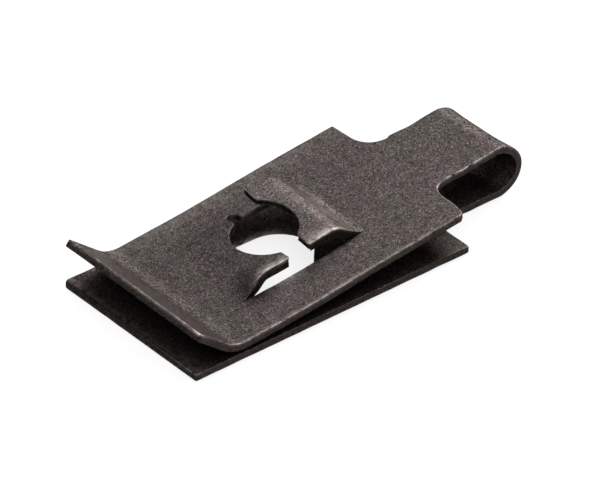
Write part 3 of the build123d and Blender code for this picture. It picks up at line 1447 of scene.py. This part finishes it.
@dataclass(frozen=True)
class NutMesh:
    """Mesh of the folded nut, closed over both faces and the sheared rim.

    Attributes:
        strip: The strip that the nut is folded from.
        cutter: Cuts the strip's outline.
        marks: Marks on the finish, and painted light and shade.
        rim: Section of the sheared rim.
    """

    strip: FoldedStrip
    cutter: BlankCutter
    marks: FinishMarksAndPaintedLight
    rim: ShearedRim = ShearedRim()

    def build(self) -> bpy.types.Object:
        """Makes the nut's mesh object, with the values that its material reads.

        The flat mesh is used twice, on the outer face turned over and on the inner face as it is,
        and rings of the rim's section join their edges.

        Returns:
            The object, at the origin with its place in its mesh.
        """
        flat = self.cutter.cut()
        s, y = flat.points.T
        zone = self.strip.zones(s, y)
        nothing = np.zeros(len(s))
        full = nothing + self.strip.thickness
        outer = self.strip.place(s, y, zone, nothing)
        inner = self.strip.place(s, y, zone, full)

        edges = flat.rim()
        rim, corner = np.unique(edges, return_inverse=True)
        ring_flat, depth = self.rings(flat.points[rim])
        ring_zone = np.tile(zone[rim], len(depth))
        walls = self.strip.place(*ring_flat.T, ring_zone, depth.ravel())
        wall_faces = self.wall_faces(rim, corner.reshape(edges.shape), len(s), len(depth))

        quads = np.concatenate((flat.quads[:, ::-1], flat.quads + len(s), wall_faces))
        triangles = np.concatenate((flat.triangles[:, ::-1], flat.triangles + len(s)))
        points = np.concatenate((outer, inner, walls)) * MM
        piece = self.write("speed_nut", points, quads, triangles)

        blank = np.concatenate((flat.points, flat.points, ring_flat))
        share = np.concatenate((nothing, nothing + 1, depth.ravel() / self.strip.thickness))
        for name, values in self.marks.values(blank, share).items():
            stored = piece.data.attributes.new(name, "FLOAT", "POINT")
            stored.data.foreach_set("value", values.astype(np.float32))
        return piece

    def rings(self, points: Array) -> tuple[Array, Array]:
        """Rings of the rim's section round the flat faces.

        A ring's point lies off its edge point by the section's distance in the outward direction.
        The raised sides of the prongs have the burr, and their tips the undercut.

        Args:
            points: Points of the flat faces' edge, one row each.

        Returns:
            Points in the flat, ring after ring, and their depths, with one row for each ring.
        """
        outward = self.cutter.outward(points)
        raised = self.cutter.raised(*points.T)
        on_side = ease(np.abs(outward[:, 1]), *self.rim.side_lean)
        out, depth = self.rim.section(
            width=self.cutter.rim_width(*points.T),
            thickness=self.strip.thickness,
            burred=raised * on_side,
            torn=raised * (1 - on_side),
        )
        return (points + out[..., None] * outward).reshape(-1, 2), depth

    @staticmethod
    def wall_faces(rim: Array, edges: Array, count: int, rings: int) -> Array:
        """Quads from the outer face's edge over all rings to the inner face's edge.

        The mesh has the outer face's points first, then the inner face's, then ring after ring.

        Args:
            rim: Numbers of the edge points in the flat mesh.
            edges: Pairs of places in that list, one for each edge.
            count: How many points the flat mesh has.
            rings: How many rings there are.

        Returns:
            Corners of the quads, anticlockwise.
        """
        ring_points = 2 * count + np.arange(rings * len(rim)).reshape(rings, -1)
        ladder = [rim, *ring_points, rim + count]
        first, second = edges.T
        steps = [
            np.column_stack((low[first], low[second], high[second], high[first]))
            for low, high in zip(ladder, ladder[1:])
        ]
        return np.concatenate(steps)

    @staticmethod
    def write(name: str, points: Array, quads: Array, triangles: Array) -> bpy.types.Object:
        """Writes corners and faces into a new smooth-shaded mesh object.

        Args:
            name: Name of the piece.
            points: Corners in metres.
            quads: Corners of the quads.
            triangles: Corners of the triangles.

        Returns:
            The object, linked to the scene.
        """
        mesh = bpy.data.meshes.new(name)
        mesh.vertices.add(len(points))
        mesh.vertices.foreach_set("co", points.astype(np.float32).ravel())
        mesh.loops.add(quads.size + triangles.size)
        mesh.loops.foreach_set("vertex_index", np.concatenate((quads.ravel(), triangles.ravel())))
        mesh.polygons.add(len(quads) + len(triangles))
        sizes = np.concatenate((np.full(len(quads), 4), np.full(len(triangles), 3)))
        mesh.polygons.foreach_set("loop_start", np.cumsum(sizes) - sizes)
        mesh.polygons.foreach_set("use_smooth", np.ones(len(sizes), bool))
        mesh.update(calc_edges=True)
        mesh.validate()
        piece = bpy.data.objects.new(name, mesh)
        bpy.context.scene.collection.objects.link(piece)
        return piece


# Finishes


def linear(hex_colour: str) -> tuple[float, float, float, float]:
    """Linear colour of an sRGB hex value, by the sRGB curve.

    Args:
        hex_colour: Six hex digits, with or without a hash.

    Returns:
        Red, green, blue and an alpha of one.
    """
    digits = hex_colour.lstrip("#")
    srgb = np.array([int(digits[i : i + 2], 16) for i in (0, 2, 4)]) / 255
    values = np.where(srgb <= 0.04045, srgb / 12.92, ((srgb + 0.055) / 1.055) ** 2.4)
    return (*map(float, values), 1.0)


def node(tree: Tree, kind: str, settings: dict | None = None, **inputs) -> bpy.types.Node:
    """Adds a node with its settings, and with a value or a link for each of its inputs.

    Args:
        tree: Node tree that gets the node.
        kind: Blender's name for the node type.
        settings: Values of the node's own properties.
        **inputs: Input values or source sockets. Underscores stand for spaces, and a name of the
            form i0 stands for the input with that number.

    Returns:
        The node.
    """
    made = tree.nodes.new(kind)
    for name, value in (settings or {}).items():
        setattr(made, name, value)
    for name, value in inputs.items():
        socket = made.inputs[int(name[1:]) if name[1:].isdigit() else name.replace("_", " ")]
        if isinstance(value, Socket):
            tree.links.new(value, socket)
        else:
            socket.default_value = value
    return made


def pattern(tree: Tree, kind: str, size_mm: float, **inputs) -> bpy.types.Node:
    """Adds a pattern at a real size, in object coordinates: its scale is one over the size.

    Args:
        tree: Node tree that gets the pattern.
        kind: Blender's name for the pattern's node type.
        size_mm: Size of the pattern's features.
        **inputs: Further inputs of the node.

    Returns:
        The pattern's node.
    """
    place = node(tree, "ShaderNodeTexCoord").outputs["Object"]
    return node(tree, kind, Vector=place, Scale=1 / (size_mm * MM), **inputs)


def coated(tree: Tree, base: Socket | tuple, *coats: tuple) -> Socket:
    """Colour of a base under coats, each mixed in over the last by its share.

    Args:
        tree: Node tree of the material.
        base: Colour under all coats.
        *coats: Pairs of a share and a colour, the lowest coat first.

    Returns:
        The colour on top.
    """
    for share, colour in coats:
        settings = {"data_type": "RGBA"}
        base = node(tree, "ShaderNodeMix", settings, i0=share, i6=base, i7=colour).outputs[2]
    return base


@dataclass(frozen=True)
class PhosphatedSpringSteel:
    """Hardened carbon spring steel with a manganese phosphate finish, kept under a thin film of
    lubricant.

    The phosphate is a felt of crystals some hundredths of a millimetre long: it is near black,
    takes the light from all sides and glints where a crystal faces it. Those glints are painted
    into the colour, as a few lighter crystals. The real crystals are too fine to show, so they are
    drawn coarser, 0.07 mm across, and in clumps of 0.45 mm.

    Two fields that end in from and full are values of a pattern or an attribute: a share is nought
    at the first and full at the second.

    Attributes:
        name: Name of the material.
        crystal_mm: Size of the crystals' tones.
        grain_mm: Size of their bumps.
        grain_height_mm: Height of their bumps.
        grain_detail: Octaves of the bumps and the clumps.
        clump_mm: Size of the clumps, lighter and darker by turns.
        tint_mm: Size of the warm and cool patches.
        tint_detail: Octaves of those patches.
        dark: Hollows between the crystals.
        warm: Crystals in the warm patches.
        cool: Crystals in the cool patches.
        painted_glint: Lighter colour painted on crystals that face the light, as their glints.
        wall: Sheared walls, which hold little phosphate.
        shade_black: Near black of the painted shade and the darkened walls.
        bare_or_highlight: Uncoated steel where the finish is worn off, also the colour of the
            painted highlights.
        grazing_dark: Tint of the light mirrored at a grazing angle by the hollows.
        grazing_light: The same by the crystals.
        clump_share: Share of the clumps in the crystals' tone.
        tone_from: Tone that is still a hollow.
        tone_full: Tone that is a full crystal.
        tint_from: Patch value that is still warm.
        tint_full: Patch value that is wholly cool.
        painted_glint_from: Draw of a crystal above which it starts to be painted lighter.
        painted_glint_full: Draw of a crystal at which it is painted fully lighter.
        painted_glint_share: Share of that painted colour there.
        wall_from: Depth at which the wall's colour starts.
        wall_full: Depth at which it is full.
        wall_share: Share of the wall's colour there.
        inner_from: Depth at which the inner face's finish starts.
        inner_full: Depth at which it is full.
        inner_dark_share: Share of the walls' darkening, the painted shade round the hole and the
            arcs, that reaches onto the inner face.
        rub_from: Clump value that keeps its finish where it is worn or gets a painted highlight.
        rub_full: Clump value that loses it.
        roughness: Roughness of the whole finish.
        metallic: Metallic value of the whole finish.
    """

    name: str = "phosphated_spring_steel"
    crystal_mm: float = 0.07
    grain_mm: float = 0.07
    grain_height_mm: float = 0.02
    grain_detail: float = 2.0
    clump_mm: float = 0.45
    tint_mm: float = 2.4
    tint_detail: float = 1.0
    dark: str = "#373130"
    warm: str = "#6c6060"
    cool: str = "#67625e"
    painted_glint: str = "#b8aea8"
    wall: str = "#48403b"
    shade_black: str = "#1f1814"
    bare_or_highlight: str = "#ddd5cc"
    grazing_dark: str = "#6e6662"
    grazing_light: str = "#faf7f5"
    clump_share: float = 0.3
    tone_from: float = 0.22
    tone_full: float = 0.8
    tint_from: float = 0.4
    tint_full: float = 0.6
    painted_glint_from: float = 0.86
    painted_glint_full: float = 1.0
    painted_glint_share: float = 0.5
    wall_from: float = 0.12
    wall_full: float = 0.4
    wall_share: float = 0.6
    inner_from: float = 0.93
    inner_full: float = 0.99
    inner_dark_share: float = 0.3
    rub_from: float = 0.3
    rub_full: float = 0.55
    roughness: float = 0.44
    metallic: float = 1.0

    def make(self) -> bpy.types.Material:
        """Makes the material, in object coordinates.

        Its colour is the crystals' on both faces and the wall's between them, under the painted
        shade, the worn places and the painted highlights. The light mirrored at a grazing angle has
        the crystals' tone too, and the painted shade dims it; the finest grain is a bump.

        Returns:
            The material.
        """
        material = bpy.data.materials.new(self.name)
        material.use_nodes = True
        tree = material.node_tree
        shader = tree.nodes["Principled BSDF"]
        noise, detail = "ShaderNodeTexNoise", self.grain_detail
        grain = pattern(tree, noise, self.grain_mm, Detail=detail).outputs["Fac"]
        clump = pattern(tree, noise, self.clump_mm, Detail=detail).outputs["Fac"]
        depth, dark_walls, painted_shade, wear_and_highlight = (
            node(tree, "ShaderNodeAttribute", {"attribute_name": name}).outputs["Fac"]
            for name in ("depth", "dark_walls", "painted_shade", "wear_and_highlight")
        )
        black = linear(self.shade_black)
        tone, colour = self.crystals(tree, clump)
        colour = self.section(tree, colour, depth, dark_walls)
        # Worn places and painted highlights, broken up by the clumps.
        patchy = node(tree, "ShaderNodeMapRange", i0=clump, i1=self.rub_from, i2=self.rub_full)
        bared_or_highlighted = node(
            tree,
            "ShaderNodeMath",
            {"operation": "MULTIPLY"},
            i0=wear_and_highlight,
            i1=patchy.outputs[0],
        )
        # Painted shade darkens the colour; worn places and painted highlights then lighten it
        # towards uncoated steel.
        colour = coated(tree, colour, (painted_shade, black), (bared_or_highlighted.outputs[0], linear(self.bare_or_highlight)))
        light = linear(self.grazing_light)
        # The painted shade dims the mirrored light as well.
        grazing = coated(tree, linear(self.grazing_dark), (tone, light), (painted_shade, black))
        height = self.grain_height_mm * MM
        bump = node(tree, "ShaderNodeBump", Strength=1.0, Distance=height, Height=grain)
        tree.links.new(colour, shader.inputs["Base Color"])
        tree.links.new(grazing, shader.inputs["Specular Tint"])
        tree.links.new(bump.outputs[0], shader.inputs["Normal"])
        shader.inputs["Roughness"].default_value = self.roughness
        shader.inputs["Metallic"].default_value = self.metallic
        return material

    def crystals(self, tree: Tree, clump: Socket) -> tuple[Socket, Socket]:
        """Tone and colour of the crystals.

        Each cell of a Voronoi pattern is a crystal. One of its random numbers, mixed with the
        clumps, gives its tone, and another one says whether it is painted lighter, as if it glints.

        Args:
            tree: Node tree of the material.
            clump: Pattern of the clumps.

        Returns:
            Share of the light tone, and the colour.
        """
        cells = pattern(tree, "ShaderNodeTexVoronoi", self.crystal_mm).outputs["Color"]
        drawn = node(tree, "ShaderNodeSeparateColor", Color=cells).outputs
        patch = pattern(tree, "ShaderNodeTexNoise", self.tint_mm, Detail=self.tint_detail)
        mixed = node(
            tree,
            "ShaderNodeMix",
            {"data_type": "FLOAT"},
            i0=self.clump_share,
            i2=drawn["Red"],
            i3=clump,
        )
        tone = node(
            tree,
            "ShaderNodeMapRange",
            i0=mixed.outputs[0],
            i1=self.tone_from,
            i2=self.tone_full,
        )
        tint = node(
            tree,
            "ShaderNodeMapRange",
            i0=patch.outputs["Fac"],
            i1=self.tint_from,
            i2=self.tint_full,
        )
        # Painted highlight: a few crystals at random are painted lighter, as their glints.
        painted_glint = node(
            tree,
            "ShaderNodeMapRange",
            i0=drawn["Green"],
            i1=self.painted_glint_from,
            i2=self.painted_glint_full,
            i4=self.painted_glint_share,
        )
        crystal = coated(tree, linear(self.warm), (tint.outputs[0], linear(self.cool)))
        coats = (tone.outputs[0], crystal), (painted_glint.outputs[0], linear(self.painted_glint))
        return tone.outputs[0], coated(tree, linear(self.dark), *coats)

    def section(self, tree: Tree, crystals: Socket, depth: Socket, dark_walls: Socket) -> Socket:
        """Colour through the sheet's section: outer face, sheared wall and inner face.

        Args:
            tree: Node tree of the material.
            crystals: Colour of the crystals.
            depth: Depth in the sheet, from nought to one.
            dark_walls: Strength of the darkening on the wall: painted shade in the clearance hole
                and round the arcs, and darker cut ends.

        Returns:
            The colour.
        """
        black = linear(self.shade_black)
        sheared = node(
            tree,
            "ShaderNodeMapRange",
            i0=depth,
            i1=self.wall_from,
            i2=self.wall_full,
            i4=self.wall_share,
        )
        inside = node(
            tree,
            "ShaderNodeMapRange",
            i0=depth,
            i1=self.inner_from,
            i2=self.inner_full,
        )
        darkened = node(
            tree,
            "ShaderNodeMath",
            {"operation": "MULTIPLY"},
            i0=dark_walls,
            i1=self.inner_dark_share,
        )
        # Painted shade on the walls of the clearance hole and the arcs, and darker cut ends; a
        # share of it reaches onto the inner face.
        wall = coated(tree, linear(self.wall), (dark_walls, black))
        inner_face = coated(tree, crystals, (darkened.outputs[0], black))
        coats = (sheared.outputs[0], wall), (inside.outputs[0], inner_face)
        return coated(tree, crystals, *coats)


# Stage


@dataclass(frozen=True)
class SoftBox:
    """A square lamp that shines at the middle of the nut.

    Attributes:
        name: Name of the lamp.
        azimuth: Its place round the nut in degrees, from the near side towards the fold.
        elevation: Its height over the floor in degrees.
        power: Power in watts.
        distance: Distance from the nut in metres.
        size: Side of the lamp in metres.
    """

    name: str
    azimuth: float
    elevation: float
    power: float
    distance: float = 0.5
    size: float = 0.3

    def make(self) -> bpy.types.Object:
        """Makes the lamp, turned so that it shines at the origin.

        Returns:
            The lamp's object.
        """
        data = bpy.data.lights.new(self.name, "AREA")
        data.size = self.size
        data.energy = self.power
        lamp = bpy.data.objects.new(self.name, data)
        turn, lift = np.radians((self.azimuth, self.elevation))
        away = Vector((np.sin(turn) * np.cos(lift), -np.cos(turn) * np.cos(lift), np.sin(lift)))
        turned = away.to_track_quat("Z", "Y").to_matrix().to_4x4()
        lamp.matrix_world = Matrix.Translation(away * self.distance) @ turned
        bpy.context.scene.collection.objects.link(lamp)
        return lamp


@dataclass(frozen=True)
class Studio:
    """Pale floor, soft lamps and the camera at the photograph's angle.

    Lengths are in metres where the name says nothing else, and the camera's angles in degrees.

    Attributes:
        floor_size: Side of the floor.
        floor_drop: How far the floor lies under the nut, so that the two faces don't coincide.
        floor_colour: Colour of the floor.
        floor_roughness: Roughness of the floor.
        world_colour: Colour of the light from all round.
        air: Strength of the light from all round on matt surfaces.
        mirrored_air: Its strength in the metal's mirror images.
        seen_white: Share of white that is added to the floor where it is seen or mirrored.
        mirrored_floor: Strength of that white in the metal's mirror images.
        lamps: The lamps.
        image_width: Width of the image in pixels.
        focal_pixels: Focal length in pixels of that image.
        sensor_mm: Width of the camera's sensor.
        clip: Nearest and farthest distance that the camera shows.
        azimuth: The camera's place round the nut, from the near side towards the fold.
        elevation: The camera's height over the floor.
        roll: Turn of the camera about its line of sight.
        distance: Distance of the camera from its target.
        target: Point that the camera looks at.
    """

    floor_size: float = 3.0
    floor_drop: float = 0.00005
    floor_colour: str = "#f2f2f2"
    floor_roughness: float = 0.9
    world_colour: str = "#ffffff"
    air: float = 0.7
    mirrored_air: float = 0.12
    seen_white: float = 0.75
    mirrored_floor: float = 0.2
    lamps: tuple[SoftBox, ...] = (
        SoftBox(name="overhead_softbox", azimuth=140.0, elevation=62.0, power=0.28),
        SoftBox(name="camera_softbox", azimuth=-40.0, elevation=60.0, power=1.2),
        SoftBox(name="right_softbox", azimuth=90.0, elevation=45.0, power=1.2),
        SoftBox(name="back_softbox", azimuth=115.0, elevation=28.0, power=1.15),
        SoftBox(name="far_softbox", azimuth=190.0, elevation=45.0, power=0.3),
        SoftBox(name="left_softbox", azimuth=250.0, elevation=40.0, power=0.45),
    )
    image_width: int = 600
    focal_pixels: float = 5000.0
    sensor_mm: float = 36.0
    clip: Range = (0.01, 10.0)
    azimuth: float = -40.047
    elevation: float = 34.629
    roll: float = 0.784
    distance: float = 0.309682
    target: tuple[float, float, float] = (-0.001075, 0.0, 0.001171)

    def make(self) -> None:
        """Makes the floor, the world, the lamps and the camera."""
        self.make_floor()
        self.make_world()
        for lamp in self.lamps:
            lamp.make()
        self.make_camera()
        bpy.context.scene.view_settings.view_transform = "Standard"

    def make_floor(self) -> bpy.types.Object:
        """Makes the floor, a square a little under the nut.

        Returns:
            The floor's object.
        """
        half, low = self.floor_size / 2, -self.floor_drop
        corners = [(-half, -half, low), (half, -half, low), (half, half, low), (-half, half, low)]
        mesh = bpy.data.meshes.new("floor")
        mesh.from_pydata(corners, [], [(0, 1, 2, 3)])
        mesh.materials.append(self.floor_material())
        floor = bpy.data.objects.new("floor", mesh)
        bpy.context.scene.collection.objects.link(floor)
        return floor

    def floor_material(self) -> bpy.types.Material:
        """Makes the floor's material: matt, with white added where it is seen or mirrored.

        Returns:
            The material.
        """
        material = bpy.data.materials.new("matt_white_floor")
        material.use_nodes = True
        tree = material.node_tree
        shader = tree.nodes["Principled BSDF"]
        shader.inputs["Base Color"].default_value = linear(self.floor_colour)
        shader.inputs["Roughness"].default_value = self.floor_roughness
        rays = node(tree, "ShaderNodeLightPath").outputs
        camera, glossy = rays["Is Camera Ray"], rays["Is Glossy Ray"]
        shown = node(tree, "ShaderNodeMath", {"operation": "MAXIMUM"}, i0=camera, i1=glossy)
        share = node(
            tree,
            "ShaderNodeMath",
            {"operation": "MULTIPLY"},
            i0=shown.outputs[0],
            i1=self.seen_white,
        )
        strength = node(
            tree,
            "ShaderNodeMath",
            {"operation": "MULTIPLY_ADD"},
            i0=camera,
            i1=1 - self.mirrored_floor,
            i2=self.mirrored_floor,
        )
        white = node(tree, "ShaderNodeEmission", Strength=strength.outputs[0])
        mix = node(
            tree,
            "ShaderNodeMixShader",
            i0=share.outputs[0],
            i1=shader.outputs[0],
            i2=white.outputs[0],
        )
        tree.links.new(mix.outputs[0], tree.nodes["Material Output"].inputs["Surface"])
        return material

    def make_world(self) -> None:
        """Makes the light from all round: white to the camera, and less bright in the metal."""
        world = bpy.data.worlds.new("studio_air")
        world.use_nodes = True
        tree = world.node_tree
        background = tree.nodes["Background"]
        background.inputs["Color"].default_value = linear(self.world_colour)
        rays = node(tree, "ShaderNodeLightPath")
        strength = node(
            tree,
            "ShaderNodeMath",
            {"operation": "MULTIPLY_ADD"},
            i0=rays.outputs["Is Glossy Ray"],
            i1=self.mirrored_air - self.air,
            i2=self.air,
        )
        strength = node(
            tree,
            "ShaderNodeMath",
            {"operation": "MULTIPLY_ADD"},
            i0=rays.outputs["Is Camera Ray"],
            i1=1 - self.air,
            i2=strength.outputs[0],
        )
        tree.links.new(strength.outputs[0], background.inputs["Strength"])
        bpy.context.scene.world = world

    def make_camera(self) -> bpy.types.Object:
        """Makes the camera, which looks at its target from its azimuth and elevation.

        Returns:
            The camera's object.
        """
        turn, lift, roll = np.radians((self.azimuth, self.elevation, self.roll))
        ahead = Vector((-np.sin(turn) * np.cos(lift), np.cos(turn) * np.cos(lift), -np.sin(lift)))
        level = ahead.cross(Vector((0, 0, 1))).normalized()
        upright = level.cross(ahead)
        right = np.cos(roll) * level + np.sin(roll) * upright
        up = np.cos(roll) * upright - np.sin(roll) * level
        data = bpy.data.cameras.new("camera")
        data.sensor_width = self.sensor_mm
        data.lens = self.focal_pixels / self.image_width * self.sensor_mm
        data.clip_start, data.clip_end = self.clip
        camera = bpy.data.objects.new("camera", data)
        turned = Matrix((right, up, -ahead)).transposed().to_4x4()
        place = Vector(self.target) - ahead * self.distance
        camera.matrix_world = Matrix.Translation(place) @ turned
        bpy.context.scene.collection.objects.link(camera)
        bpy.context.scene.camera = camera
        return camera


def main() -> None:
    """Builds the nut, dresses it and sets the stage."""
    logging.basicConfig(level=logging.INFO, format="%(name)s: %(message)s")
    strip = FoldedStrip()
    nut = NutMesh(strip, BlankCutter(strip), FinishMarksAndPaintedLight(strip)).build()
    nut.data.materials.append(PhosphatedSpringSteel().make())
    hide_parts(STEEL_NODE)
    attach(nut, "root")
    log.info("%s: %d corners, %d faces", nut.name, len(nut.data.vertices), len(nut.data.polygons))
    Studio().make()
    bpy.context.view_layer.update()


if __name__ == "__main__":
    main()
